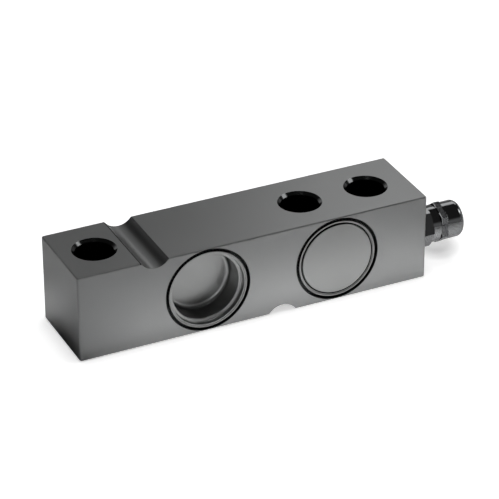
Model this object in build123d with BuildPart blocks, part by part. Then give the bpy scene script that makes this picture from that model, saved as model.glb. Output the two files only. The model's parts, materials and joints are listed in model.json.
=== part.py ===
from build123d import *
import os
from math import sqrt

# Shear beam load cell, in millimetres.
# The origin lies on the mounting face, midway between the two mounting holes.
# +X runs along the beam towards the cable gland, +Z is up, and -Y is the front with both covers.

# Beam
beam_length = 130.0
beam_width = 31.8
end_height = 31.8
pad_relief = 0.3
edge_break = 0.3
corner_radius = 0.8

# Through holes, from the load end
hole_diameter = 13.5
hole_countersink = 1.0
hole_underside_break = 0.3
load_hole_from_end = 12.7
load_to_mounting = 76.2
mounting_spacing = 25.4

# Groove across the top and notch across the underside, from the load end
groove_from_end = 28.0
groove_radius = 6.0
groove_depth = 2.6
notch_from_end = 74.6
notch_radius = 6.0
notch_depth = 2.7

# Weld lips round the cups and the cover
seat_radius = 14.2
lip_width = 0.4
relief_groove_width = 0.75
relief_groove_depth = 1.2
weld_sink = 0.35
weld_width = 0.76
weld_crown = 0.3

# Gauge pockets and their cups
gauge_from_end = 47.0
web_thickness = 4.0
gauge_pocket_ledge = 1.2
cup_sheet = 0.7
cup_fit = 0.05
cup_wall_fit = 0.1
cup_shoulder_depth = 2.1
cup_floor_depth = 10.0
cup_floor_corner = 1.0

# Circuit pocket and its cover
circuit_from_end = 95.5
circuit_pocket_ledge = 2.2
circuit_pocket_depth = 6.9
cover_seat_depth = 2.5
cover_groove_width = 0.5
cover_rim_width = 0.55
cover_groove_depth = 1.0
cover_edge_break = 0.15

# Wire channels
channel_radius = 1.1
channel_reach = 1.2
port_channel_depth = 5.6
web_hole_radius = 1.1
web_hole_from_wall = 1.8

# Strain gauges
carrier_length = 9.0
carrier_height = 9.0
carrier_thickness = 0.12
carrier_corner = 0.5
foil_thickness = 0.06
grid_lines = 5
grid_line_length = 3.0
grid_line_width = 0.3
grid_pitch = 0.6
grid_offset = 2.1
terminal_length = 2.4
terminal_height = 6.0
terminal_thickness = 0.3
terminal_from_centre = 7.0
terminal_pads = 3
terminal_pad_pitch = 1.9
terminal_pad_size = 1.1
terminal_pad_height = 0.25
terminal_pad_taper = 20

# Bridge wires
wire_width = 0.8
wire_thickness = 0.4
wire_spread = 0.45
wire_bend = 0.8
wire_gap = 0.05
wire_start_run = 1.2
wire_end_run = 4.5

# Circuit board
board_fit = 0.8
board_thickness = 1.0
board_clearance = 1.7
board_post_flats = 2.5
board_post_from_edge = 3.7
resistor_length = 2.4
resistor_width = 1.3
resistor_height = 0.6
resistor_rows = 2
resistor_columns = 3
resistor_pitch_x = 4.0
resistor_pitch_z = 4.2
pin_count = 8
pin_from_board_edge = 1.8
pin_width = 0.64
pin_height = 1.0

# Cable port in the end face
port_radius = 5.05
port_depth = 7.2
port_from_front = 7.8
port_seal_thickness = 1.0
port_seal_fit = 0.05

# Cable gland
gland_flats = 13.0
gland_hex_length = 4.0
gland_thread_radius = 5.0
gland_thread_length = 6.0
gland_collar_radius = 6.5
gland_collar_length = 3.0
gland_bore_radius = 2.9
gland_socket_radius = 4.35
gland_stem_radius = 5.3
gland_stem_length = 4.0
gland_socket_depth = 4.5
thread_bevel = 0.4
hex_bevel = 0.35

# Gasket under the gland
gasket_inner_radius = 5.15
gasket_outer_radius = 6.15
gasket_thickness = 0.75

# Gland nut
nut_gap = 0.2
nut_hex_length = 2.5
nut_turn = 9.0
nut_dome_radius = 6.6
nut_length = 9.4
nut_end_rounding = 2.2
nut_end_crest = 0.65
nut_thread_fit = 0.05
nut_thread_length = 5.0
nut_cone_length = 2.4
nut_cone_radius = 4.0
nut_hole_radius = 3.4
nut_hole_bevel = 0.4

# Cable bush and clamping ring
seal_fit = 0.05
seal_bore_radius = 2.6
seal_overhang = 2.0
seal_nose = 0.6
clamp_gap = 0.15
clamp_length = 2.8
clamp_fit = 0.1
clamp_lip_radius = 3.5
clamp_slots = 6
clamp_slot_width = 0.5
clamp_slot_length = 1.8

# Places worked out from the sizes
load_end = -(load_hole_from_end + load_to_mounting + mounting_spacing / 2)
cable_end = load_end + beam_length
load_hole_x = load_end + load_hole_from_end
mounting_hole_xs = [-mounting_spacing / 2, mounting_spacing / 2]
beam_top = end_height
load_pad_top = end_height + pad_relief
groove_x = load_end + groove_from_end
notch_x = load_end + notch_from_end
front_face_y = -beam_width / 2
gauge_x = load_end + gauge_from_end
gauge_z = (pad_relief + beam_top) / 2
gauge_pocket_depth = (beam_width - web_thickness) / 2
gauge_pocket_radius = seat_radius - gauge_pocket_ledge
circuit_x = load_end + circuit_from_end
circuit_z = beam_top / 2
circuit_pocket_radius = seat_radius - circuit_pocket_ledge
lip_radius = seat_radius + lip_width
cup_rim_radius = seat_radius - cup_fit
cup_wall_radius = gauge_pocket_radius - cup_wall_fit
cup_seat_depth = cup_shoulder_depth + cup_sheet
cover_groove_outer = cup_rim_radius - cover_rim_width
cover_groove_inner = cover_groove_outer - cover_groove_width
board_back_depth = circuit_pocket_depth - board_clearance
board_front_depth = board_back_depth - board_thickness
board_radius = circuit_pocket_radius - board_fit
port_y = front_face_y + port_from_front
port_z = beam_top / 2
port_plane = Plane(origin=(cable_end, port_y, port_z), x_dir=(0, 1, 0), z_dir=(1, 0, 0))

os.makedirs("parts", exist_ok=True)


# A plane parallel to the front face, some depth into the beam, facing out of the front
def depth_plane(x, z, depth):
    return Plane(origin=(x, front_face_y + depth, z), x_dir=(1, 0, 0), z_dir=(0, -1, 0))


# The plane of a round piece's half section: x is the radius, y the height above the front face
def section_plane(x, z):
    return Plane(origin=(x, front_face_y, z), x_dir=(1, 0, 0), z_dir=(0, 0, -1))


# The plane for a piece turned about the gland's axis: x runs out along the axis, y is the radius
def gland_section():
    return Plane(origin=(cable_end, port_y, port_z), x_dir=(1, 0, 0), z_dir=(0, -1, 0))


# The circular edges of a part that have one radius, from the front to the back
def rings(part, radius):
    circles = part.edges().filter_by(GeomType.CIRCLE)
    return circles.filter_by(lambda edge: abs(edge.radius - radius) < 0.001).sort_by(Axis.Y)


# Beam: the bar with its pads, groove, notch and holes
with BuildPart() as beam:
    with BuildSketch(Plane.XZ):
        with BuildLine():
            Polyline(
                (load_end, pad_relief),
                (notch_x, pad_relief),
                (notch_x, 0),
                (cable_end, 0),
                (cable_end, beam_top),
                (groove_x, beam_top),
                (groove_x, load_pad_top),
                (load_end, load_pad_top),
                close=True,
            )
        make_face()
        with Locations((groove_x, beam_top - groove_depth + groove_radius)):
            Circle(groove_radius, mode=Mode.SUBTRACT)
        with Locations((notch_x, pad_relief + notch_depth - notch_radius)):
            Circle(notch_radius, mode=Mode.SUBTRACT)
    extrude(amount=beam_width / 2, both=True)

    upright_edges = beam.edges().filter_by(Axis.Z)
    corner_edges = upright_edges.group_by(Axis.X)[0] + upright_edges.group_by(Axis.X)[-1]
    fillet(corner_edges, radius=corner_radius)

    long_edges = beam.edges().filter_by(Axis.X)
    end_edges = beam.edges().filter_by(Axis.Y).group_by(Axis.X)
    chamfer(long_edges + end_edges[0] + end_edges[-1], length=edge_break)

    with BuildSketch(Plane.XY):
        with Locations((load_hole_x, 0), *[(x, 0) for x in mounting_hole_xs]):
            Circle(hole_diameter / 2)
    extrude(amount=load_pad_top, mode=Mode.SUBTRACT)
    chamfer(rings(beam, hole_diameter / 2).sort_by(Axis.Z)[:3], length=hole_underside_break)
    chamfer(rings(beam, hole_diameter / 2).sort_by(Axis.Z)[-3:], length=hole_countersink)

    # The same stepped seat is bored for both gauge cups and for the circuit cover
    seats = [
        (depth_plane(gauge_x, gauge_z, 0), -1, cup_seat_depth),
        (depth_plane(gauge_x, gauge_z, beam_width), 1, cup_seat_depth),
        (depth_plane(circuit_x, circuit_z, 0), -1, cover_seat_depth),
    ]
    for seat_plane, inward, seat_depth in seats:
        with BuildSketch(seat_plane):
            Circle(lip_radius + relief_groove_width)
            Circle(lip_radius, mode=Mode.SUBTRACT)
        extrude(amount=inward * relief_groove_depth, mode=Mode.SUBTRACT)
        with BuildSketch(seat_plane):
            Circle(lip_radius)
        extrude(amount=inward * weld_sink, mode=Mode.SUBTRACT)
        with BuildSketch(seat_plane):
            Circle(seat_radius)
        extrude(amount=inward * seat_depth, mode=Mode.SUBTRACT)

    # Gauge pockets, from both sides down to the web
    for seat_plane, inward, seat_depth in seats[:2]:
        with BuildSketch(seat_plane):
            Circle(gauge_pocket_radius)
        extrude(amount=inward * gauge_pocket_depth, mode=Mode.SUBTRACT)

    # Circuit pocket
    with BuildSketch(depth_plane(circuit_x, circuit_z, 0)):
        Circle(circuit_pocket_radius)
    extrude(amount=-circuit_pocket_depth, mode=Mode.SUBTRACT)

    # Cable port
    with BuildSketch(port_plane):
        Circle(port_radius)
    extrude(amount=-port_depth, mode=Mode.SUBTRACT)

    # Channel from the cable port into the circuit pocket
    port_floor = Vector(cable_end - port_depth, front_face_y + port_channel_depth, port_z)
    with BuildSketch(Plane(origin=port_floor, x_dir=(0, 1, 0), z_dir=(-1, 0, 0))):
        Circle(channel_radius)
    extrude(amount=port_floor.X - circuit_x - circuit_pocket_radius + channel_reach, mode=Mode.SUBTRACT)

    # Oblique channel, drilled through the mouth of the circuit pocket into the gauge pocket
    gauge_cavity_depth = (cup_floor_depth + cup_sheet + gauge_pocket_depth) / 2
    channel_mouth_depth = board_back_depth + wire_gap + wire_thickness / 2
    channel_start = Vector(circuit_x - circuit_pocket_radius, front_face_y + channel_mouth_depth, gauge_z)
    channel_end = Vector(gauge_x + gauge_pocket_radius, front_face_y + gauge_cavity_depth, gauge_z)
    channel_direction = (channel_end - channel_start).normalized()
    channel_origin = channel_start - channel_direction * channel_reach
    with BuildSketch(Plane(origin=channel_origin, x_dir=(0, 0, 1), z_dir=channel_direction)):
        Circle(channel_radius)
    extrude(amount=(channel_end - channel_start).length + 2 * channel_reach, mode=Mode.SUBTRACT)

    # Wire hole through the web
    web_hole_x = gauge_x + gauge_pocket_radius - web_hole_from_wall
    with BuildSketch(depth_plane(web_hole_x, gauge_z, gauge_pocket_depth)):
        Circle(web_hole_radius)
    extrude(amount=-web_thickness, mode=Mode.SUBTRACT)
beam.part.label = "beam"
export_step(beam.part, "parts/beam.step")


# Gauge cup: drawn sheet with a flat floor, a shoulder that seats in the beam and an upright rim
with BuildPart() as front_gauge_cup:
    with BuildSketch(section_plane(gauge_x, gauge_z)):
        with BuildLine():
            Polyline(
                (0, -cup_floor_depth),
                (cup_wall_radius - cup_sheet, -cup_floor_depth),
                (cup_wall_radius - cup_sheet, -cup_shoulder_depth),
                (cup_rim_radius - cup_sheet, -cup_shoulder_depth),
                (cup_rim_radius - cup_sheet, -weld_sink),
                (cup_rim_radius, -weld_sink),
                (cup_rim_radius, -cup_seat_depth),
                (cup_wall_radius, -cup_seat_depth),
                (cup_wall_radius, -cup_floor_depth - cup_sheet),
                (0, -cup_floor_depth - cup_sheet),
                close=True,
            )
        make_face()
    revolve(axis=Axis((gauge_x, 0, gauge_z), (0, 1, 0)))
    chamfer(rings(front_gauge_cup, cup_wall_radius)[-1], length=cup_floor_corner)
    chamfer(rings(front_gauge_cup, cup_wall_radius - cup_sheet)[-1], length=cup_floor_corner)
front_gauge_cup.part.label = "front_gauge_cup"
export_step(front_gauge_cup.part, "parts/front_gauge_cup.step")

with BuildPart() as back_gauge_cup:
    add(front_gauge_cup.part)
    mirror(about=Plane.XZ, mode=Mode.REPLACE)
back_gauge_cup.part.label = "back_gauge_cup"
export_step(back_gauge_cup.part, "parts/back_gauge_cup.step")


# Circuit cover: a disc, turned down at its rim and grooved so that a thin lip takes the weld
with BuildPart() as circuit_cover:
    with BuildSketch(section_plane(circuit_x, circuit_z)):
        with BuildLine():
            Polyline(
                (0, 0),
                (cover_groove_inner - cover_edge_break, 0),
                (cover_groove_inner, -cover_edge_break),
                (cover_groove_inner, -cover_groove_depth),
                (cover_groove_outer, -cover_groove_depth),
                (cover_groove_outer, -weld_sink),
                (cup_rim_radius, -weld_sink),
                (cup_rim_radius, -cover_seat_depth),
                (0, -cover_seat_depth),
                close=True,
            )
        make_face()
    revolve(axis=Axis((circuit_x, 0, circuit_z), (0, 1, 0)))
circuit_cover.part.label = "circuit_cover"
export_step(circuit_cover.part, "parts/circuit_cover.step")


# Weld bead: a ring with sloping flanks over the joint between a rim and the beam's lip
def weld_ring(x, z):
    with BuildPart() as ring:
        with BuildSketch(section_plane(x, z)):
            with BuildLine():
                Polyline(
                    (seat_radius - weld_width / 2, -weld_sink),
                    (seat_radius + weld_width / 2, -weld_sink),
                    (seat_radius, weld_crown - weld_sink),
                    close=True,
                )
            make_face()
        revolve(axis=Axis((x, 0, z), (0, 1, 0)))
    return ring.part


with BuildPart() as front_cup_weld:
    add(weld_ring(gauge_x, gauge_z))
front_cup_weld.part.label = "front_cup_weld"
export_step(front_cup_weld.part, "parts/front_cup_weld.step")

with BuildPart() as back_cup_weld:
    add(weld_ring(gauge_x, gauge_z))
    mirror(about=Plane.XZ, mode=Mode.REPLACE)
back_cup_weld.part.label = "back_cup_weld"
export_step(back_cup_weld.part, "parts/back_cup_weld.step")

with BuildPart() as circuit_cover_weld:
    add(weld_ring(circuit_x, circuit_z))
circuit_cover_weld.part.label = "circuit_cover_weld"
export_step(circuit_cover_weld.part, "parts/circuit_cover_weld.step")


# Strain gauge carrier: the film bonded to the web
with BuildPart() as front_gauge_carrier:
    with BuildSketch(depth_plane(gauge_x, gauge_z, gauge_pocket_depth)):
        RectangleRounded(carrier_length, carrier_height, carrier_corner)
    extrude(amount=carrier_thickness)
front_gauge_carrier.part.label = "front_gauge_carrier"
export_step(front_gauge_carrier.part, "parts/front_gauge_carrier.step")

with BuildPart() as back_gauge_carrier:
    add(front_gauge_carrier.part)
    mirror(about=Plane.XZ, mode=Mode.REPLACE)
back_gauge_carrier.part.label = "back_gauge_carrier"
export_step(back_gauge_carrier.part, "parts/back_gauge_carrier.step")


# Foil grids: two folded tracks, at 45 degrees to the beam either way
with BuildPart() as front_gauge_grids:
    foil_plane = depth_plane(gauge_x, gauge_z, gauge_pocket_depth - carrier_thickness)
    for side in (-1, 1):
        with BuildSketch(foil_plane):
            with Locations(Location((side * grid_offset, 0, 0), (0, 0, side * 45))):
                with GridLocations(0, grid_pitch, 1, grid_lines):
                    Rectangle(grid_line_length, grid_line_width)
                for fold in range(grid_lines - 1):
                    fold_x = (grid_line_length - grid_line_width) / 2 * (-1) ** fold
                    fold_y = (fold - (grid_lines - 2) / 2) * grid_pitch
                    with Locations((fold_x, fold_y)):
                        Rectangle(grid_line_width, grid_pitch + grid_line_width)
        extrude(amount=foil_thickness)
front_gauge_grids.part.label = "front_gauge_grids"
export_step(front_gauge_grids.part, "parts/front_gauge_grids.step")

with BuildPart() as back_gauge_grids:
    add(front_gauge_grids.part)
    mirror(about=Plane.XZ, mode=Mode.REPLACE)
back_gauge_grids.part.label = "back_gauge_grids"
export_step(back_gauge_grids.part, "parts/back_gauge_grids.step")


# Solder terminals: a strip with a row of raised pads
with BuildPart() as front_terminals:
    terminal_x = gauge_x + terminal_from_centre
    with BuildSketch(depth_plane(terminal_x, gauge_z, gauge_pocket_depth)):
        Rectangle(terminal_length, terminal_height)
    extrude(amount=terminal_thickness)
    with BuildSketch(depth_plane(terminal_x, gauge_z, gauge_pocket_depth - terminal_thickness)):
        with GridLocations(0, terminal_pad_pitch, 1, terminal_pads):
            Rectangle(terminal_pad_size, terminal_pad_size)
    extrude(amount=terminal_pad_height, taper=terminal_pad_taper)
front_terminals.part.label = "front_terminals"
export_step(front_terminals.part, "parts/front_terminals.step")

with BuildPart() as back_terminals:
    add(front_terminals.part)
    mirror(about=Plane.XZ, mode=Mode.REPLACE)
back_terminals.part.label = "back_terminals"
export_step(back_terminals.part, "parts/back_terminals.step")


# A wire: a flat section swept along straight runs joined by arcs, all at one height
def wire(points):
    with BuildPart() as strand:
        with BuildLine() as route:
            FilletPolyline(*points, radius=wire_bend)
        first_run = Vector(*points[1]) - Vector(*points[0])
        with BuildSketch(Plane(origin=points[0], x_dir=(0, 0, 1), z_dir=first_run)):
            Rectangle(wire_width, wire_thickness)
        sweep(path=route.line)
    return strand.part


# The front wires start beside the terminals, along the web, and then follow the oblique channel
channel_slope = (channel_end.Y - channel_start.Y) / (channel_start.X - channel_end.X)
front_wire_y = front_face_y + gauge_pocket_depth - wire_gap - wire_thickness / 2
wire_start_x = terminal_x + terminal_length / 2 + wire_gap
wire_end_x = channel_start.X + wire_end_run
with BuildPart() as front_bridge_wires:
    upper_z = gauge_z + wire_spread
    add(wire([
        (wire_start_x, front_wire_y, upper_z),
        (wire_start_x + wire_start_run, front_wire_y, upper_z),
        (channel_end.X, channel_end.Y, upper_z),
        (channel_start.X, channel_start.Y, upper_z),
        (wire_end_x, channel_start.Y, upper_z),
    ]))
front_bridge_wires.part.label = "front_bridge_wires"
export_step(front_bridge_wires.part, "parts/front_bridge_wires.step")

# The back wires pass through the web and then share the channel
with BuildPart() as back_bridge_wires:
    lower_z = gauge_z - wire_spread
    add(wire([
        (wire_start_x, -front_wire_y, lower_z),
        (web_hole_x, -front_wire_y, lower_z),
        (web_hole_x, channel_end.Y + channel_slope * (channel_end.X - web_hole_x), lower_z),
        (channel_start.X, channel_start.Y, lower_z),
        (wire_end_x, channel_start.Y, lower_z),
    ]))
back_bridge_wires.part.label = "back_bridge_wires"
export_step(back_bridge_wires.part, "parts/back_bridge_wires.step")


# Circuit board: a disc that stands on two posts
with BuildPart() as circuit_board:
    with BuildSketch(depth_plane(circuit_x, circuit_z, board_back_depth)):
        Circle(board_radius)
    extrude(amount=board_thickness)
circuit_board.part.label = "circuit_board"
export_step(circuit_board.part, "parts/circuit_board.step")

with BuildPart() as board_posts:
    with BuildSketch(depth_plane(circuit_x, circuit_z, circuit_pocket_depth)):
        with GridLocations(0, 2 * (board_radius - board_post_from_edge), 1, 2):
            RegularPolygon(board_post_flats / 2, 6, major_radius=False)
    extrude(amount=board_clearance)
board_posts.part.label = "board_posts"
export_step(board_posts.part, "parts/board_posts.step")

with BuildPart() as trim_resistors:
    with BuildSketch(depth_plane(circuit_x, circuit_z, board_front_depth)):
        with GridLocations(resistor_pitch_x, resistor_pitch_z, resistor_columns, resistor_rows):
            Rectangle(resistor_length, resistor_width)
    extrude(amount=resistor_height)
trim_resistors.part.label = "trim_resistors"
export_step(trim_resistors.part, "parts/trim_resistors.step")

with BuildPart() as solder_pins:
    with BuildSketch(depth_plane(circuit_x, circuit_z, board_front_depth)):
        with PolarLocations(board_radius - pin_from_board_edge, pin_count):
            Rectangle(pin_width, pin_width)
    extrude(amount=pin_height)
solder_pins.part.label = "solder_pins"
export_step(solder_pins.part, "parts/solder_pins.step")


# Sealing compound at the bottom of the cable port
with BuildPart() as port_seal:
    with BuildSketch(port_plane.offset(-port_depth)):
        Circle(port_radius - port_seal_fit)
    extrude(amount=port_seal_thickness)
port_seal.part.label = "port_seal"
export_step(port_seal.part, "parts/port_seal.step")


# Gland body: a threaded stub, a hexagon on the end face, a round collar and a threaded stem
gland_axis = Axis((cable_end, port_y, port_z), (1, 0, 0))
corner_reach = gland_flats / sqrt(3)
collar_end = gland_hex_length + gland_collar_length
stem_end = collar_end + gland_stem_length
socket_floor = stem_end - gland_socket_depth
with BuildPart() as gland_body:
    with BuildSketch(port_plane):
        RegularPolygon(gland_flats / 2, 6, major_radius=False)
    extrude(amount=gland_hex_length)
    with BuildSketch(gland_section()):
        with BuildLine():
            Polyline(
                (0, 0),
                (0, corner_reach),
                (gland_hex_length - hex_bevel, corner_reach),
                (gland_hex_length, corner_reach - hex_bevel * sqrt(3)),
                (gland_hex_length, 0),
                close=True,
            )
        make_face()
    revolve(axis=gland_axis, mode=Mode.INTERSECT)
    with BuildSketch(gland_section()):
        with BuildLine():
            Polyline(
                (-gland_thread_length, 0),
                (-gland_thread_length, gland_thread_radius - thread_bevel),
                (-gland_thread_length + thread_bevel, gland_thread_radius),
                (0, gland_thread_radius),
                (0, gland_collar_radius),
                (collar_end, gland_collar_radius),
                (collar_end, gland_stem_radius),
                (stem_end - thread_bevel, gland_stem_radius),
                (stem_end, gland_stem_radius - thread_bevel),
                (stem_end, 0),
                close=True,
            )
        make_face()
    revolve(axis=gland_axis)
    with BuildSketch(gland_section()):
        with BuildLine():
            Polyline(
                (-gland_thread_length, 0),
                (-gland_thread_length, gland_bore_radius),
                (socket_floor, gland_bore_radius),
                (socket_floor, gland_socket_radius),
                (stem_end, gland_socket_radius),
                (stem_end, 0),
                close=True,
            )
        make_face()
    revolve(axis=gland_axis, mode=Mode.SUBTRACT)
    with BuildSketch(port_plane):
        Circle(gasket_outer_radius)
        Circle(gasket_inner_radius, mode=Mode.SUBTRACT)
    extrude(amount=gasket_thickness, mode=Mode.SUBTRACT)
gland_body.part.label = "gland_body"
export_step(gland_body.part, "parts/gland_body.step")


# Gasket: a flat ring in the groove under the hexagon, pressed against the beam's end face
with BuildPart() as gland_gasket:
    with BuildSketch(port_plane):
        Circle(gasket_outer_radius)
        Circle(gasket_inner_radius, mode=Mode.SUBTRACT)
    extrude(amount=gasket_thickness)
gland_gasket.part.label = "gland_gasket"
export_step(gland_gasket.part, "parts/gland_gasket.step")


# Gland nut: a narrow hexagon that runs into a cap, coned in two steps, with the cable hole
nut_start = collar_end + nut_gap
nut_end = nut_start + nut_length
nut_thread_radius = gland_stem_radius + nut_thread_fit
nut_cone_start = nut_start + nut_thread_length
nut_cone_end = nut_cone_start + nut_cone_length
with BuildPart() as gland_nut:
    with BuildSketch(port_plane.offset(nut_start)):
        RegularPolygon(gland_flats / 2, 6, major_radius=False, rotation=30 - nut_turn)
    extrude(amount=nut_hex_length)
    with BuildSketch(gland_section()):
        with BuildLine():
            Polyline(
                (nut_start, 0),
                (nut_start, corner_reach - hex_bevel * sqrt(3)),
                (nut_start + hex_bevel, corner_reach),
                (nut_start + nut_hex_length - hex_bevel, corner_reach),
                (nut_start + nut_hex_length, corner_reach - hex_bevel * sqrt(3)),
                (nut_start + nut_hex_length, 0),
                close=True,
            )
        make_face()
    revolve(axis=gland_axis, mode=Mode.INTERSECT)
    with BuildSketch(gland_section()):
        with BuildLine():
            Polyline(
                (nut_start + nut_hex_length, 0),
                (nut_start + nut_hex_length, nut_dome_radius),
                (nut_end - nut_end_rounding, nut_dome_radius),
                (nut_end - nut_end_crest, nut_dome_radius - nut_end_crest),
                (nut_end, nut_dome_radius - nut_end_rounding),
                (nut_end, 0),
                close=True,
            )
        make_face()
    revolve(axis=gland_axis)
    with BuildSketch(gland_section()):
        with BuildLine():
            Polyline(
                (nut_start, 0),
                (nut_start, nut_thread_radius),
                (nut_cone_start, nut_thread_radius),
                (nut_cone_end, nut_cone_radius),
                (nut_cone_end, nut_hole_radius),
                (nut_end, nut_hole_radius),
                (nut_end, 0),
                close=True,
            )
        make_face()
    revolve(axis=gland_axis, mode=Mode.SUBTRACT)
    hole_edge = gland_nut.edges().filter_by(GeomType.CIRCLE).sort_by(Axis.X)[-2:].sort_by(SortBy.RADIUS)[0]
    chamfer(hole_edge, length=nut_hole_bevel)
gland_nut.part.label = "gland_nut"
export_step(gland_nut.part, "parts/gland_nut.step")


# Cable bush: a rubber sleeve that stands in the body's socket
seal_radius = gland_socket_radius - seal_fit
seal_end = stem_end + seal_overhang
with BuildPart() as gland_seal:
    with BuildSketch(gland_section()):
        with BuildLine():
            Polyline(
                (socket_floor, seal_bore_radius),
                (socket_floor, seal_radius),
                (seal_end - seal_nose, seal_radius),
                (seal_end, seal_radius - seal_nose),
                (seal_end, seal_bore_radius),
                close=True,
            )
        make_face()
    revolve(axis=gland_axis)
gland_seal.part.label = "gland_seal"
export_step(gland_seal.part, "parts/gland_seal.step")


# Clamping ring: a slotted collar round the bush, coned like the inside of the nut
clamp_start = stem_end + clamp_gap
clamp_end = clamp_start + clamp_length
cone_rate = (nut_thread_radius - nut_cone_radius) / nut_cone_length
clamp_outer = nut_thread_radius - clamp_fit
with BuildPart() as gland_clamp:
    with BuildSketch(gland_section()):
        with BuildLine():
            Polyline(
                (clamp_start, seal_radius + clamp_fit),
                (clamp_start, clamp_outer),
                (nut_cone_start, clamp_outer),
                (clamp_end, clamp_outer - cone_rate * (clamp_end - nut_cone_start)),
                (clamp_end, clamp_lip_radius),
                (seal_end + clamp_gap, clamp_lip_radius),
                (seal_end + clamp_gap, seal_radius + clamp_fit),
                close=True,
            )
        make_face()
    revolve(axis=gland_axis)
    with BuildSketch(port_plane.offset(clamp_end)):
        with PolarLocations(clamp_outer, clamp_slots):
            Rectangle(2 * (clamp_outer - clamp_lip_radius) + clamp_slot_width, clamp_slot_width)
    extrude(amount=-clamp_slot_length, mode=Mode.SUBTRACT)
gland_clamp.part.label = "gland_clamp"
export_step(gland_clamp.part, "parts/gland_clamp.step")
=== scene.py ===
import json
import math
import bmesh
import bpy
from mathutils import Matrix, Vector


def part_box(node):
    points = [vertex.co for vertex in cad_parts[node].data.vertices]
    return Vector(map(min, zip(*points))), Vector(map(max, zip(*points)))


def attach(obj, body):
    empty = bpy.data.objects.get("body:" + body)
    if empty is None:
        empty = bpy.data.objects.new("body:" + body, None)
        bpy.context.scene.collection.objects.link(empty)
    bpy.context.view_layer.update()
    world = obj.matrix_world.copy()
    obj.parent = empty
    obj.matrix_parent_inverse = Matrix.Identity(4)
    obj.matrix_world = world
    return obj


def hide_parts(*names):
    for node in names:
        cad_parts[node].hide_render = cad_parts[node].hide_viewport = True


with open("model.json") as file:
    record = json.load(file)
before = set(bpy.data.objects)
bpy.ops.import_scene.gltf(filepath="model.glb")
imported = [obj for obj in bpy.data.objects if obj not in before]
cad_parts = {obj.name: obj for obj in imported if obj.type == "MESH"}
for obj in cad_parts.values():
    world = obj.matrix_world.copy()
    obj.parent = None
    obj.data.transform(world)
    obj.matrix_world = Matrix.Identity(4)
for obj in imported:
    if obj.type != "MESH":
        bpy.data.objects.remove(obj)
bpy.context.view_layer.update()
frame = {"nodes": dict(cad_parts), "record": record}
nodes = frame["nodes"]
scene = bpy.context.scene
mm = 0.001
print("frame loaded:", len(nodes), "nodes")

# Camera

camera = {
    "place": (-0.38689, -0.75188, 0.49753),
    "lookAlong": (0.36990, 0.78316, -0.49983),
    "roll": -0.226,              # degrees
    "lens": 202.03,
    "sensor": 36.0,
    "clipStart": 0.01,
}


def turnedTo(place, lookAlong, roll=0.0):
    turn = Vector(lookAlong).to_track_quat("-Z", "Y").to_matrix().to_4x4()
    return Matrix.Translation(place) @ turn @ Matrix.Rotation(math.radians(roll), 4, "Z")


viewData = bpy.data.cameras.new("viewCamera")
viewData.lens = camera["lens"]
viewData.sensor_width = camera["sensor"]
viewData.clip_start = camera["clipStart"]
view = bpy.data.objects.new("viewCamera", viewData)
scene.collection.objects.link(view)
view.matrix_world = turnedTo(camera["place"], camera["lookAlong"], camera["roll"])
scene.camera = view
print("camera placed")


# Shader helpers. In the settings a noise is (scale, detail) and a bump is (strength, depth).

def newMaterial(name):
    material = bpy.data.materials.new(name)
    material.use_nodes = True
    return material, material.node_tree, material.node_tree.nodes["Principled BSDF"]


def addNode(tree, kind, **settings):
    node = tree.nodes.new(kind)
    for key, value in settings.items():
        setattr(node, key, value)
    return node


def mathNode(tree, operation, first, second=None):
    node = addNode(tree, "ShaderNodeMath", operation=operation)
    for socket, value in zip(node.inputs, (first, second)):
        if isinstance(value, (int, float)):
            socket.default_value = value
        elif value is not None:
            tree.links.new(value, socket)
    return node.outputs["Value"]


def objectPlace(tree, centre=(0, 0, 0)):
    coord = addNode(tree, "ShaderNodeTexCoord")
    shift = addNode(tree, "ShaderNodeMapping", vector_type="POINT")
    shift.inputs["Location"].default_value = [-c for c in centre]
    tree.links.new(coord.outputs["Object"], shift.inputs["Vector"])
    return shift.outputs["Vector"]


def axesOf(tree, where):
    parts = addNode(tree, "ShaderNodeSeparateXYZ")
    tree.links.new(where, parts.inputs["Vector"])
    return parts.outputs["X"], parts.outputs["Y"], parts.outputs["Z"]


def lengthOf(tree, vector):
    length = addNode(tree, "ShaderNodeVectorMath", operation="LENGTH")
    tree.links.new(vector, length.inputs[0])
    return length.outputs["Value"]


def radiusOn(tree, where, plane="XZ"):
    flat = addNode(tree, "ShaderNodeCombineXYZ")
    for axis, value in zip("XYZ", axesOf(tree, where)):
        if axis in plane:
            tree.links.new(value, flat.inputs[axis])
    return lengthOf(tree, flat.outputs["Vector"])


def noiseOn(tree, where, scale, detail):
    noise = addNode(tree, "ShaderNodeTexNoise")
    noise.inputs["Scale"].default_value = scale
    noise.inputs["Detail"].default_value = detail
    tree.links.new(where, noise.inputs["Vector"])
    return noise.outputs["Fac"]


# The defaults are the values that most of a noise lies between
def between(tree, value, low, high, fromLow=0.3, fromHigh=0.7):
    step = addNode(tree, "ShaderNodeMapRange")
    step.inputs["From Min"].default_value = fromLow
    step.inputs["From Max"].default_value = fromHigh
    step.inputs["To Min"].default_value = low
    step.inputs["To Max"].default_value = high
    tree.links.new(value, step.inputs["Value"])
    return step.outputs["Result"]


# Masks: a rise or a fall over a span of values, a band with soft ends, and several at once

def rise(tree, value, span):
    return between(tree, value, 0.0, 1.0, *span)


def fall(tree, value, span):
    return between(tree, value, 1.0, 0.0, *span)


def allOf(tree, mask, *others):
    for other in others:
        mask = mathNode(tree, "MULTIPLY", mask, other)
    return mask


def bandMask(tree, value, band, soft):
    inner, outer = band
    return allOf(tree, rise(tree, value, (inner, inner + soft)), fall(tree, value, (outer, outer + soft)))


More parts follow.
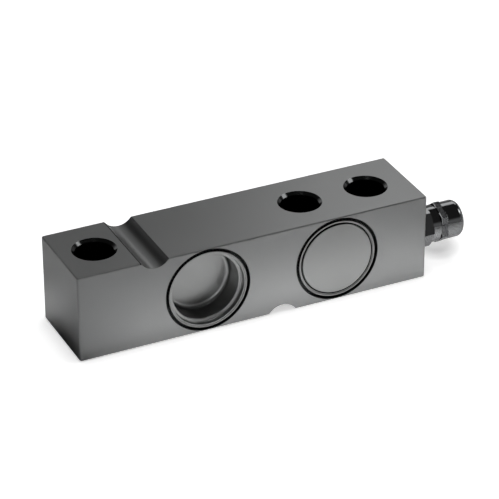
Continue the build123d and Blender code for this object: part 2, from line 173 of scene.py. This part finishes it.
def mixColours(tree, factor, first, second):
    mix = addNode(tree, "ShaderNodeMix", data_type="RGBA")
    if isinstance(first, tuple):
        mix.inputs["A"].default_value = (*first, 1)
    else:
        tree.links.new(first, mix.inputs["A"])
    mix.inputs["B"].default_value = (*second, 1)
    tree.links.new(factor, mix.inputs["Factor"])
    return mix.outputs["Result"]


def mottled(tree, noise, colour, tints):
    darker, lighter = (tuple(min(1.0, c * tint) for c in colour) for tint in tints)
    return mixColours(tree, noise, darker, lighter)


def roughOn(tree, noise, finish):
    below, above = finish["roughnessSpread"]
    return between(tree, noise, finish["roughness"] - below, finish["roughness"] + above)


def paint(tree, shader, colour, rough, metallic=1.0):
    tree.links.new(colour, shader.inputs["Base Color"])
    tree.links.new(rough, shader.inputs["Roughness"])
    shader.inputs["Metallic"].default_value = metallic


def bumpOn(tree, shader, height, strength, depth, before=None):
    bump = addNode(tree, "ShaderNodeBump")
    bump.inputs["Strength"].default_value = strength
    bump.inputs["Distance"].default_value = depth
    tree.links.new(height, bump.inputs["Height"])
    if before:
        tree.links.new(before, bump.inputs["Normal"])
    tree.links.new(bump.outputs["Normal"], shader.inputs["Normal"])
    return bump.outputs["Normal"]


def dress(material, *names):
    for name in names:
        slots = nodes[name].data.materials
        if len(slots) == 0:
            slots.append(material)
        for index in range(len(slots)):
            slots[index] = material


def middleOf(name):
    low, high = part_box(name)
    return tuple((a + b) / 2 for a, b in zip(low, high))


# Mesh helpers: a section of (radius, place along the axis) in mm, spun about an axis

meshing = {
    "roundProfile": 0.5,         # a circular round
    "mergeReach": 0.001 * mm,
    "sharpAngle": 35,            # degrees
}


def spinSection(bm, section, rounds, centre, alongX, closed, steps):
    def placed(radius, along):
        if alongX:
            return (centre[0] + along * mm, centre[1], centre[2] + radius * mm)
        return (centre[0] + radius * mm, centre[1] + along * mm, centre[2])

    verts = [bm.verts.new(placed(radius, along)) for radius, along in section]
    for pair in zip(verts, verts[1:]):
        bm.edges.new(pair)
    if closed:
        bm.edges.new((verts[-1], verts[0]))
    for index, (offset, segments) in rounds.items():
        bmesh.ops.bevel(bm, geom=[verts[index]], offset=offset * mm, segments=segments,
                        profile=meshing["roundProfile"], affect="VERTICES", material=-1)
    wire = [e for e in bm.edges if not e.link_faces]
    wireVerts = list({v for e in wire for v in e.verts})
    bmesh.ops.spin(bm, geom=wireVerts + wire, cent=centre, axis=(1, 0, 0) if alongX else (0, 1, 0),
                   angle=math.tau, steps=steps, use_merge=True)
    bmesh.ops.remove_doubles(bm, verts=bm.verts, dist=meshing["mergeReach"])


def placeMesh(bm, name, material):
    mesh = bpy.data.meshes.new(name)
    bm.to_mesh(mesh)
    bm.free()
    mesh.materials.append(material)
    item = bpy.data.objects.new(name, mesh)
    scene.collection.objects.link(item)
    return item


def newPiece(bm, name, material, stands, flatSides=False):
    bmesh.ops.recalc_face_normals(bm, faces=bm.faces)
    for face in bm.faces:
        face.smooth = True
    for edge in bm.edges:
        edge.smooth = edge.calc_face_angle(0) < math.radians(meshing["sharpAngle"])
    piece = placeMesh(bm, name, material)
    if flatSides:
        even = piece.modifiers.new("evenNormals", "WEIGHTED_NORMAL")
        even.keep_sharp = True
    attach(piece, "root")
    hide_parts(stands)
    return piece


# The point on a cup's or a weld's axis that is level with the beam's face: side -1 is the front
def faceCentre(stands, side, sunk):
    low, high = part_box(stands)
    face = low[1] - sunk * mm if side < 0 else high[1] + sunk * mm
    return ((low[0] + high[0]) / 2, face, (low[2] + high[2]) / 2)


# Beam: satin stainless steel

beamSteel = {
    "colour": (0.300, 0.304, 0.304),
    "tints": (0.97, 1.03),
    "roughness": 0.33,
    "roughnessSpread": (0.02, 0.02),
    "clouds": (55.0, 4.0),
    "grain": (3200.0, 3.0),
    "grainBump": (0.10, 0.01 * mm),
    # The relief grooves round the cups and the cover, painted dark as shade
    "paintedShadeColour": (0.020, 0.021, 0.021),
    "reliefRing": (14.56 * mm, 15.58 * mm),
    "reliefSoft": 0.04 * mm,
    "reliefFrom": (14.5 * mm, 14.6 * mm),        # from the beam's middle plane
    # The bores and upper rims of the through holes, painted dark as shade
    "boreShadeColour": (0.10, 0.103, 0.103),
    "boreRoughness": 0.12,
    "boreWall": (6.85 * mm, 6.95 * mm),          # radius
    "boreRim": (7.70 * mm, 7.76 * mm),           # radius
    "rimFrom": (30.6 * mm, 30.7 * mm),           # height
    # The groove across the top: a painted shade line at its left edge and painted shade on its right wall
    "lineBand": (-79.10 * mm, -78.45 * mm),      # X
    "lineSoft": 0.15 * mm,
    "wallShadeColour": (0.13, 0.132, 0.132),
    "wallRise": (-73.0 * mm, -70.0 * mm),        # X
    "wallEnd": (-68.64 * mm, -68.60 * mm),       # X
    "grooveFoot": (28.8 * mm, 29.0 * mm),        # height
    "grooveTop": (31.70 * mm, 31.78 * mm),       # height
    "grooveEnd": (15.78 * mm, 15.84 * mm),       # from the beam's middle plane
}


# Painted shade: a dark ring on the beam's face round a cup or the cover
def reliefShadeMask(tree, where, centre, sides):
    radius = radiusOn(tree, objectPlace(tree, centre))
    ring = bandMask(tree, radius, beamSteel["reliefRing"], beamSteel["reliefSoft"])
    outwards = mathNode(tree, "MULTIPLY", axesOf(tree, where)[1], -1.0)
    if sides == 2:
        outwards = mathNode(tree, "ABSOLUTE", outwards)
    return allOf(tree, ring, rise(tree, outwards, beamSteel["reliefFrom"]))


# Painted shade: the bores and the upper rims of the holes are painted dark, and the same mask makes them
# smoother
def boreShadeMask(tree, where):
    nearest = None
    for mount in frame["record"]["mounts"]:
        if mount["kind"] != "bore" or mount["axis"][2] == 0:
            continue
        gap = radiusOn(tree, objectPlace(tree, mount["pos_m"]), "XY")
        nearest = gap if nearest is None else mathNode(tree, "MINIMUM", nearest, gap)
    wall = fall(tree, nearest, beamSteel["boreWall"])
    high = rise(tree, axesOf(tree, where)[2], beamSteel["rimFrom"])
    rim = allOf(tree, fall(tree, nearest, beamSteel["boreRim"]), high)
    return mathNode(tree, "MAXIMUM", wall, rim)


# Painted shade in the groove across the top: a dark line at the left edge and a darker right wall
def topGrooveShade(tree, where, colour):
    x, y, z = axesOf(tree, where)
    high = rise(tree, z, beamSteel["grooveFoot"])
    inside = fall(tree, mathNode(tree, "ABSOLUTE", y), beamSteel["grooveEnd"])
    line = allOf(tree, bandMask(tree, x, beamSteel["lineBand"], beamSteel["lineSoft"]), high, inside)
    wall = allOf(tree, rise(tree, x, beamSteel["wallRise"]), fall(tree, x, beamSteel["wallEnd"]),
                 high, fall(tree, z, beamSteel["grooveTop"]), inside)
    colour = mixColours(tree, wall, colour, beamSteel["wallShadeColour"])
    return mixColours(tree, line, colour, beamSteel["paintedShadeColour"])


def beamFinish():
    material, tree, shader = newMaterial("satinSteel")
    where = objectPlace(tree)
    clouds = noiseOn(tree, where, *beamSteel["clouds"])
    colour = topGrooveShade(tree, where, mottled(tree, clouds, beamSteel["colour"], beamSteel["tints"]))
    # Painted shade in the bores and on their rims
    bores = boreShadeMask(tree, where)
    colour = mixColours(tree, bores, colour, beamSteel["boreShadeColour"])
    for piece, sides in (("front_gauge_cup", 2), ("circuit_cover", 1)):
        # Painted shade in the relief rings
        relief = reliefShadeMask(tree, where, middleOf(piece), sides)
        colour = mixColours(tree, relief, colour, beamSteel["paintedShadeColour"])
    smoother = mathNode(tree, "MULTIPLY", bores, beamSteel["roughness"] - beamSteel["boreRoughness"])
    rough = mathNode(tree, "SUBTRACT", roughOn(tree, clouds, beamSteel), smoother)
    paint(tree, shader, colour, rough)
    bumpOn(tree, shader, noiseOn(tree, where, *beamSteel["grain"]), *beamSteel["grainBump"])
    return material


dress(beamFinish(), "beam")
print("beam finished")


# Turned finish, for the cups and the cover

cupSteel = {
    "colour": (0.310, 0.314, 0.312),
    "tints": (0.98, 1.02),
    "roughness": 0.30,
    "roughnessSpread": (0.01, 0.01),
    "clouds": (70.0, 3.0),
    "ringPitch": 0.19 * mm,
    "ringDrift": (900.0, 2.0),
    "driftTurn": 3.0,            # radians
    "ringBump": (0.015, 0.004 * mm),
    "grain": (2500.0, 2.0),
    "grainBump": (0.02, 0.01 * mm),
    "coverGroove": (13.05 * mm, 13.62 * mm),
    "grooveSoft": 0.04 * mm,
    "grooveShadeColour": (0.020, 0.021, 0.021),
}


def turnedFinish(name, centre, groove=None):
    material, tree, shader = newMaterial(name)
    where = objectPlace(tree, centre)
    radius = radiusOn(tree, where)
    drift = mathNode(tree, "MULTIPLY", noiseOn(tree, where, *cupSteel["ringDrift"]), cupSteel["driftTurn"])
    turns = mathNode(tree, "MULTIPLY", radius, math.tau / cupSteel["ringPitch"])
    ridge = mathNode(tree, "SINE", mathNode(tree, "ADD", turns, drift))
    clouds = noiseOn(tree, where, *cupSteel["clouds"])
    colour = mottled(tree, clouds, cupSteel["colour"], cupSteel["tints"])
    # Painted shade: the groove ring is painted dark
    if groove:
        ring = bandMask(tree, radius, groove, cupSteel["grooveSoft"])
        colour = mixColours(tree, ring, colour, cupSteel["grooveShadeColour"])
    paint(tree, shader, colour, roughOn(tree, clouds, cupSteel))
    first = bumpOn(tree, shader, ridge, *cupSteel["ringBump"])
    bumpOn(tree, shader, noiseOn(tree, where, *cupSteel["grain"]), *cupSteel["grainBump"], first)
    return material


dress(turnedFinish("coverSteel", middleOf("circuit_cover"), cupSteel["coverGroove"]), "circuit_cover")
print("cover finished")


# Gauge cups: pressed sheet with a rounded floor corner and shoulder, in mm

gaugeCup = {
    "sheet": 0.7,
    "floorDepth": 10.0,
    "wallRadius": 12.2,          # inside
    "shoulderDepth": 2.1,
    "rimRadius": 13.45,          # inside
    "rimDepth": 0.35,
    "floorCorner": 1.4,
    "outerCorner": 1.9,
    "floorSegments": 6,
    "shoulderCorner": 0.45,
    "rimCorner": 0.35,
    "shoulderSegments": 4,
    "rimEdge": 0.1,
    "edgeSegments": 2,
    "steps": 128,
}


def addCup(name, stands, side):
    cup = gaugeCup
    centre = faceCentre(stands, side, cup["rimDepth"])
    outerWall = cup["wallRadius"] + cup["sheet"]
    outerRim = cup["rimRadius"] + cup["sheet"]
    outerShoulder = cup["shoulderDepth"] + cup["sheet"]
    outerFloor = cup["floorDepth"] + cup["sheet"]
    profile = [
        (0, cup["floorDepth"]),
        (cup["wallRadius"], cup["floorDepth"]),
        (cup["wallRadius"], cup["shoulderDepth"]),
        (cup["rimRadius"], cup["shoulderDepth"]),
        (cup["rimRadius"], cup["rimDepth"]),
        (outerRim, cup["rimDepth"]),
        (outerRim, outerShoulder),
        (outerWall, outerShoulder),
        (outerWall, outerFloor),
        (0, outerFloor),
    ]
    rounds = {
        1: (cup["floorCorner"], cup["floorSegments"]),
        2: (cup["shoulderCorner"], cup["shoulderSegments"]),
        3: (cup["rimCorner"], cup["shoulderSegments"]),
        4: (cup["rimEdge"], cup["edgeSegments"]),
        8: (cup["outerCorner"], cup["floorSegments"]),
    }
    section = [(radius, -side * depth) for radius, depth in profile]
    bm = bmesh.new()
    spinSection(bm, section, rounds, centre, False, False, cup["steps"])
    newPiece(bm, name, turnedFinish(name + "Steel", centre), stands)


addCup("frontCup", "front_gauge_cup", -1)
addCup("backCup", "back_gauge_cup", 1)
print("cups spun")


# Weld beads: a crowned ring of overlapping spots, its sizes in mm

weldBead = {
    "radius": 14.2,
    "width": 0.76,
    "crown": 0.30,
    "sink": 0.35,
    "crestDepth": 0.05,          # of the solid's crest below the beam's face
    "crestShare": 0.75,          # of the width
    "crestRound": 0.17,
    "crestSegments": 4,
    "steps": 236,
    "colour": (0.30, 0.303, 0.30),
    "tints": (0.85, 1.1),
    "roughness": 0.33,
    "roughnessSpread": (0.05, 0.08),
    "tint": (500.0, 3.0),
    "spots": 118,
    "spotArc": 2200.0,           # radians of a spot's curve to a metre of radius
    "spotBump": (0.25, 0.02 * mm),
    # Painted shade on the bead's outer flank, over these radii
    "flank": (14.36 * mm, 14.42 * mm),   # radii over which the outer flank darkens
}


def weldFinish(name, centre):
    material, tree, shader = newMaterial(name)
    where = objectPlace(tree, centre)
    radius = radiusOn(tree, where)
    x, _, z = axesOf(tree, where)
    spots = mathNode(tree, "MULTIPLY", mathNode(tree, "ARCTAN2", z, x), weldBead["spots"])
    arc = mathNode(tree, "SINE", mathNode(tree, "MULTIPLY", radius, weldBead["spotArc"]))
    halfWave = mathNode(tree, "MULTIPLY", mathNode(tree, "ADD", spots, arc), 0.5)
    ripple = mathNode(tree, "ABSOLUTE", mathNode(tree, "SINE", halfWave))
    tint = noiseOn(tree, where, *weldBead["tint"])
    colour = mottled(tree, tint, weldBead["colour"], weldBead["tints"])
    # Painted shade on the outer flank
    colour = mixColours(tree, rise(tree, radius, weldBead["flank"]), colour, beamSteel["paintedShadeColour"])
    paint(tree, shader, colour, roughOn(tree, tint, weldBead))
    bumpOn(tree, shader, ripple, *weldBead["spotBump"])
    return material


def addWeld(name, stands, side):
    bead = weldBead
    centre = faceCentre(stands, side, bead["crestDepth"])
    half = bead["width"] / 2
    crest = half * bead["crestShare"]
    profile = [
        (bead["radius"] - half, bead["sink"]),
        (bead["radius"] + half, bead["sink"]),
        (bead["radius"] + crest, bead["sink"] - bead["crown"]),
        (bead["radius"] - crest, bead["sink"] - bead["crown"]),
    ]
    crestRound = (bead["crestRound"], bead["crestSegments"])
    section = [(radius, -side * depth) for radius, depth in profile]
    bm = bmesh.new()
    spinSection(bm, section, {2: crestRound, 3: crestRound}, centre, False, True, bead["steps"])
    newPiece(bm, name, weldFinish(name + "Steel", centre), stands)


addWeld("frontCupBead", "front_cup_weld", -1)
addWeld("backCupBead", "back_cup_weld", 1)
addWeld("coverBead", "circuit_cover_weld", -1)
print("welds laid")


# Cable gland: nickel plated brass, with duller flats on the nut's hexagon

plating = {
    "colour": (0.30, 0.305, 0.31),
    "tints": (0.94, 1.05),
    "roughness": 0.07,
    "roughnessSpread": (0.01, 0.02),
    "scuffs": (260.0, 4.0),
    "peel": (900.0, 2.0),
    "peelBump": (0.02, 0.005 * mm),
    "flatColour": (0.20, 0.205, 0.21),
    "flatRoughness": 0.24,
    "flatMargins": (0.20, 0.25),     # mm, at the hexagon's two ends
    "flatSoft": 0.05 * mm,
}

# Sizes in mm, the turn in degrees
glandNut = {
    "flats": 13.0,
    "hexLength": 2.5,
    "hexInner": 6.5,
    "hexEdge": 0.20,
    "turn": 21.0,
    "cornerShare": 0.95,         # of the corner's reach, past which a point is on the outline
    "capRadius": 6.6,
    "capRounding": 2.2,
    "capSegments": 10,
    "threadRadius": 5.35,
    "threadLength": 5.0,
    "coneLength": 2.4,
    "coneRadius": 4.0,
    "holeRadius": 3.4,
    "holeEdge": 0.4,
    "edgeSegments": 3,
    "steps": 96,
}


def platedFinish():
    material, tree, shader = newMaterial("glandNickel")
    where = objectPlace(tree)
    scuffs = noiseOn(tree, where, *plating["scuffs"])
    colour = mottled(tree, scuffs, plating["colour"], plating["tints"])
    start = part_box("gland_nut")[0][0]
    nearMargin, farMargin = plating["flatMargins"]
    band = (start + nearMargin * mm, start + (glandNut["hexLength"] - farMargin) * mm)
    flats = bandMask(tree, axesOf(tree, where)[0], band, plating["flatSoft"])
    colour = mixColours(tree, flats, colour, plating["flatColour"])
    duller = mathNode(tree, "MULTIPLY", flats, plating["flatRoughness"] - plating["roughness"])
    paint(tree, shader, colour, mathNode(tree, "ADD", roughOn(tree, scuffs, plating), duller))
    bumpOn(tree, shader, noiseOn(tree, where, *plating["peel"]), *plating["peelBump"])
    return material


def addGlandNut(material):
    nut = glandNut
    low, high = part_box("gland_nut")
    start, end = low[0], high[0]
    lowBody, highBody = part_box("gland_body")
    centre = (start, (lowBody[1] + highBody[1]) / 2, (lowBody[2] + highBody[2]) / 2)
    length = (end - start) / mm
    coneEnd = nut["threadLength"] + nut["coneLength"]
    section = [
        (nut["threadRadius"], 0),
        (nut["capRadius"], 0),
        (nut["capRadius"], length),
        (nut["holeRadius"], length),
        (nut["holeRadius"], coneEnd),
        (nut["coneRadius"], coneEnd),
        (nut["threadRadius"], nut["threadLength"]),
    ]
    rounds = {2: (nut["capRounding"], nut["capSegments"]), 3: (nut["holeEdge"], nut["edgeSegments"])}
    bm = bmesh.new()
    spinSection(bm, section, rounds, centre, True, True, nut["steps"])

    # The hexagon is a ring of its own round the cap
    corner = nut["flats"] / math.sqrt(3) * mm
    turn = Matrix.Rotation(math.radians(nut["turn"]), 4, "X") @ Matrix.Rotation(math.radians(90), 4, "Y")
    hexPlace = Matrix.Translation(centre) @ turn
    outer = bmesh.ops.create_circle(bm, segments=6, radius=corner, matrix=hexPlace)["verts"]
    inner = bmesh.ops.create_circle(bm, segments=6, radius=nut["hexInner"] * mm, matrix=hexPlace)["verts"]
    rings = [e for e in bm.edges if not e.link_faces and (e.verts[0] in outer or e.verts[0] in inner)]
    bridge = bmesh.ops.bridge_loops(bm, edges=rings)["faces"]
    grown = bmesh.ops.extrude_face_region(bm, geom=bridge)["geom"]
    far = [v for v in grown if isinstance(v, bmesh.types.BMVert)]
    bmesh.ops.translate(bm, verts=far, vec=(nut["hexLength"] * mm, 0, 0))
    axis = Vector(centre[1:])
    reach = corner * nut["cornerShare"]
    outline = set(outer) | {v for v in far if (Vector(v.co[1:]) - axis).length > reach}
    outlineEdges = [e for e in bm.edges if e.verts[0] in outline and e.verts[1] in outline]
    bmesh.ops.bevel(bm, geom=outlineEdges, offset=nut["hexEdge"] * mm, segments=nut["edgeSegments"],
                    profile=meshing["roundProfile"], affect="EDGES", material=-1)
    newPiece(bm, "glandNutShell", material, "gland_nut", flatSides=True)


nickel = platedFinish()
dress(nickel, "gland_body", "gland_nut")
addGlandNut(nickel)
print("gland built")


# Small pieces: a mottled finish each

smallLook = {
    "tints": (0.8, 1.2),
    "roughnessShares": (0.9, 1.15),
    "flecks": (1400.0, 4.0),
    "grain": (5000.0, 2.0),
    "grainBump": (0.15, 0.01 * mm),
}

smallFinishes = {
    "blackRubber": {"nodes": ("gland_seal", "gland_gasket"),
                    "colour": (0.020, 0.020, 0.021), "roughness": 0.62},
    "clampPlastic": {"nodes": ("gland_clamp",),
                     "colour": (0.035, 0.035, 0.036), "roughness": 0.45},
    "sealingCompound": {"nodes": ("port_seal",),
                        "colour": (0.045, 0.044, 0.048), "roughness": 0.5},
    "gaugeFilm": {"nodes": ("front_gauge_carrier", "back_gauge_carrier"),
                  "colour": (0.55, 0.28, 0.07), "roughness": 0.3},
    "gaugeFoil": {"nodes": ("front_gauge_grids", "back_gauge_grids"),
                  "colour": (0.70, 0.50, 0.37), "roughness": 0.3, "metallic": 1.0},
    "terminalStrip": {"nodes": ("front_terminals", "back_terminals"),
                      "colour": (0.66, 0.58, 0.38), "roughness": 0.5},
    "wireJacket": {"nodes": ("front_bridge_wires", "back_bridge_wires"),
                   "colour": (0.52, 0.05, 0.04), "roughness": 0.4},
    "boardLaminate": {"nodes": ("circuit_board",),
                      "colour": (0.03, 0.19, 0.08), "roughness": 0.38},
    "postBrass": {"nodes": ("board_posts",),
                  "colour": (0.74, 0.56, 0.27), "roughness": 0.33, "metallic": 1.0},
    "resistorBody": {"nodes": ("trim_resistors",),
                     "colour": (0.03, 0.03, 0.035), "roughness": 0.42},
    "solder": {"nodes": ("solder_pins",),
               "colour": (0.66, 0.66, 0.64), "roughness": 0.28, "metallic": 1.0},
}


def smallFinish(name, values):
    material, tree, shader = newMaterial(name)
    where = objectPlace(tree)
    flecks = noiseOn(tree, where, *smallLook["flecks"])
    colour = mottled(tree, flecks, values["colour"], smallLook["tints"])
    smooth, rough = (values["roughness"] * share for share in smallLook["roughnessShares"])
    paint(tree, shader, colour, between(tree, flecks, smooth, rough), values.get("metallic", 0.0))
    bumpOn(tree, shader, noiseOn(tree, where, *smallLook["grain"]), *smallLook["grainBump"])
    return material


for name, values in smallFinishes.items():
    dress(smallFinish(name, values), *values["nodes"])
print("small pieces finished")


# Table, backdrop and softboxes

studio = {
    "aim": (-0.03, 0.0, 0.016),
    "tableRadius": 4.0,
    "tableSegments": 96,
    "tableColour": (0.80, 0.80, 0.80),
    "matteRoughness": 0.9,
    "paperHeight": -0.05 * mm,
    "mirrorHeight": -0.2 * mm,
    "cardStep": 0.02 * mm,
    "cardReach": 0.5,
    "paperGlow": 0.80,
    "openGlow": 1.02,
    "openPaper": (0.16, 0.60),   # radii between which the paper brightens to the open glow
    "contactGlow": 0.46,
    "contactReach": 6 * mm,
    "contactSamples": 12,
    "domeSegments": (64, 32),
    "skyGlow": 0.025,
    "horizonGlow": 0.20,
    "skyHeights": (0.28, 0.46),  # heights on the world's sphere between which it darkens
}

softboxes = {
    "overhead": {"place": (0.0, 0.0, 0.60), "size": 0.40, "power": 1.53},
    "backRight": {"place": (0.30, 0.35, 0.35), "size": 0.30, "tall": 0.20, "power": 0.195},
    "back": {"place": (0.05, 0.45, 0.35), "size": 0.30, "power": 0.054},
    "right": {"place": (0.86, -0.24, 0.65), "size": 0.35, "power": 1.10},
    "frontLow": {"place": (-0.35, -1.10, 0.12), "size": 0.60, "power": 1.00},
    "leftLow": {"place": (-1.20, 0.05, 0.12), "size": 0.60, "power": 0.15},
    "rightLow": {"place": (1.20, 0.10, 0.12), "size": 0.60, "power": 0.30},
    "backLow": {"place": (-0.30, 1.20, 0.12), "size": 0.60, "power": 0.40},
}

# Painted pools of light on the table, glowing cards seen in reflections only: centre, half sizes, glow
tableGlows = {
    "frontGlow": {"centre": (-0.02, -0.030), "reach": (0.09, 0.045), "glow": 0.79},
    "frontRightGlow": {"centre": (0.03, -0.030), "reach": (0.06, 0.045), "glow": 0.491},
    "frontLeftGlow": {"centre": (-0.07, -0.030), "reach": (0.05, 0.045), "glow": 0.395},
    "backGlow": {"centre": (0.0, 0.035), "reach": (0.09, 0.045), "glow": 0.60},
    "leftBackGlow": {"centre": (-0.106, 0.026), "reach": (0.014, 0.022), "glow": 0.35},
    "wideGlow": {"centre": (0.0, -0.05), "reach": (0.25, 0.12), "glow": 0.18},
}

# Dark patches beside the beam's foot, seen in reflections only
tableShades = {
    "leftShade": {"centre": (-0.1016, -0.004), "reach": (0.010, 0.022), "keep": 0.13, "push": 1.6},
}

# The soft shadow under the gland: full is the share of the falloff where it reaches its depth
glandShadow = {"centre": (0.0425, 0.0031), "reach": (0.0115, 0.0125), "depth": 0.70, "full": 0.6}


def matte(name, colour):
    material, _, shader = newMaterial(name)
    shader.inputs["Base Color"].default_value = (*colour, 1)
    shader.inputs["Roughness"].default_value = studio["matteRoughness"]
    shader.inputs["Specular IOR Level"].default_value = 0.0
    shader.inputs["Emission Color"].default_value = (1, 1, 1, 1)
    return material, shader


def stagePlane(name, material, height):
    bm = bmesh.new()
    bmesh.ops.create_circle(bm, cap_ends=True, segments=studio["tableSegments"],
                            radius=studio["tableRadius"], matrix=Matrix.Translation((0, 0, height)))
    plane = placeMesh(bm, name, material)
    plane.visible_shadow = False
    return plane


def patchOn(tree, patch, shape):
    coord = addNode(tree, "ShaderNodeTexCoord")
    fit = addNode(tree, "ShaderNodeMapping", vector_type="TEXTURE")
    fit.inputs["Location"].default_value = (*patch["centre"], 0)
    fit.inputs["Scale"].default_value = (*patch["reach"], 1)
    tree.links.new(coord.outputs["Object"], fit.inputs["Vector"])
    falloff = addNode(tree, "ShaderNodeTexGradient", gradient_type=shape)
    tree.links.new(fit.outputs["Vector"], falloff.inputs["Vector"])
    return falloff.outputs["Fac"]


# A clear card over the mirrored table, which adds a glow to it or dims it
def addCard(name, patch, depth):
    material, tree, _ = newMaterial(name)
    tree.nodes.clear()
    falloff = patchOn(tree, patch, "QUADRATIC_SPHERE" if "glow" in patch else "SPHERICAL")
    clear = addNode(tree, "ShaderNodeBsdfTransparent")
    end = addNode(tree, "ShaderNodeOutputMaterial")
    if "glow" in patch:
        glow = addNode(tree, "ShaderNodeEmission")
        tree.links.new(mathNode(tree, "MULTIPLY", falloff, patch["glow"]), glow.inputs["Strength"])
        both = addNode(tree, "ShaderNodeAddShader")
        tree.links.new(glow.outputs["Emission"], both.inputs[0])
        tree.links.new(clear.outputs["BSDF"], both.inputs[1])
        tree.links.new(both.outputs["Shader"], end.inputs["Surface"])
    else:
        dimmed = between(tree, falloff, 1.0, patch["keep"], 0.0, 1.0 / patch["push"])
        tree.links.new(dimmed, clear.inputs["Color"])
        tree.links.new(clear.outputs["BSDF"], end.inputs["Surface"])
    bm = bmesh.new()
    bmesh.ops.create_grid(bm, x_segments=1, y_segments=1, size=studio["cardReach"],
                          matrix=Matrix.Translation((0, 0, -depth)))
    card = placeMesh(bm, name, material)
    card.visible_camera = card.visible_shadow = card.visible_diffuse = False


# The paper that the camera sees, with painted shadows, and the table and cards that the part reflects
def addTable():
    paper, shader = matte("tablePaper", studio["tableColour"])
    tree = paper.node_tree
    # Painted shadow: the paper's glow dims where the part is close, and under the gland
    contact = addNode(tree, "ShaderNodeAmbientOcclusion", samples=studio["contactSamples"])
    contact.inputs["Distance"].default_value = studio["contactReach"]
    lit = between(tree, contact.outputs["AO"], studio["contactGlow"], studio["paperGlow"], 0.0, 1.0)
    shadow = patchOn(tree, glandShadow, "SPHERICAL")
    under = between(tree, shadow, 1.0, 1.0 - glandShadow["depth"], 0.0, glandShadow["full"])
    away = lengthOf(tree, objectPlace(tree))
    wide = between(tree, away, 0.0, studio["openGlow"] - studio["paperGlow"], *studio["openPaper"])
    near = mathNode(tree, "MULTIPLY", lit, under)
    tree.links.new(mathNode(tree, "ADD", near, wide), shader.inputs["Emission Strength"])
    seen = stagePlane("paperTable", paper, studio["paperHeight"])
    seen.visible_glossy = seen.visible_diffuse = False

    soft, _ = matte("tableTop", studio["tableColour"])
    mirrored = stagePlane("mirroredTable", soft, studio["mirrorHeight"])
    mirrored.visible_camera = False

    for index, (name, patch) in enumerate([*tableShades.items(), *tableGlows.items()]):
        addCard(name, patch, studio["cardStep"] * (index + 1))


def addBackdrop():
    glow, shader = matte("backdropPaper", (0, 0, 0))
    shader.inputs["Emission Strength"].default_value = 1.0
    around, upwards = studio["domeSegments"]
    bm = bmesh.new()
    bmesh.ops.create_uvsphere(bm, u_segments=around, v_segments=upwards, radius=studio["tableRadius"])
    dome = placeMesh(bm, "backdrop", glow)
    dome.visible_glossy = dome.visible_diffuse = dome.visible_shadow = dome.visible_transmission = False


def addWorld():
    world = bpy.data.worlds.new("studioWorld")
    scene.world = world
    world.use_nodes = True
    tree = world.node_tree
    coord = addNode(tree, "ShaderNodeTexCoord")
    height = axesOf(tree, coord.outputs["Generated"])[2]
    sky = between(tree, height, studio["horizonGlow"], studio["skyGlow"], *studio["skyHeights"])
    tree.links.new(sky, tree.nodes["Background"].inputs["Strength"])
    tree.nodes["Background"].inputs["Color"].default_value = (1, 1, 1, 1)


def addSoftboxes():
    for name, box in softboxes.items():
        data = bpy.data.lights.new(name, "AREA")
        data.shape = "RECTANGLE"
        data.size = box["size"]
        data.size_y = box.get("tall", box["size"])
        data.energy = box["power"]
        lamp = bpy.data.objects.new(name, data)
        scene.collection.objects.link(lamp)
        lamp.matrix_world = turnedTo(box["place"], Vector(studio["aim"]) - Vector(box["place"]))
        lamp.visible_camera = False


addTable()
addBackdrop()
addWorld()
addSoftboxes()
scene.view_settings.view_transform = "Standard"
print("studio lit")
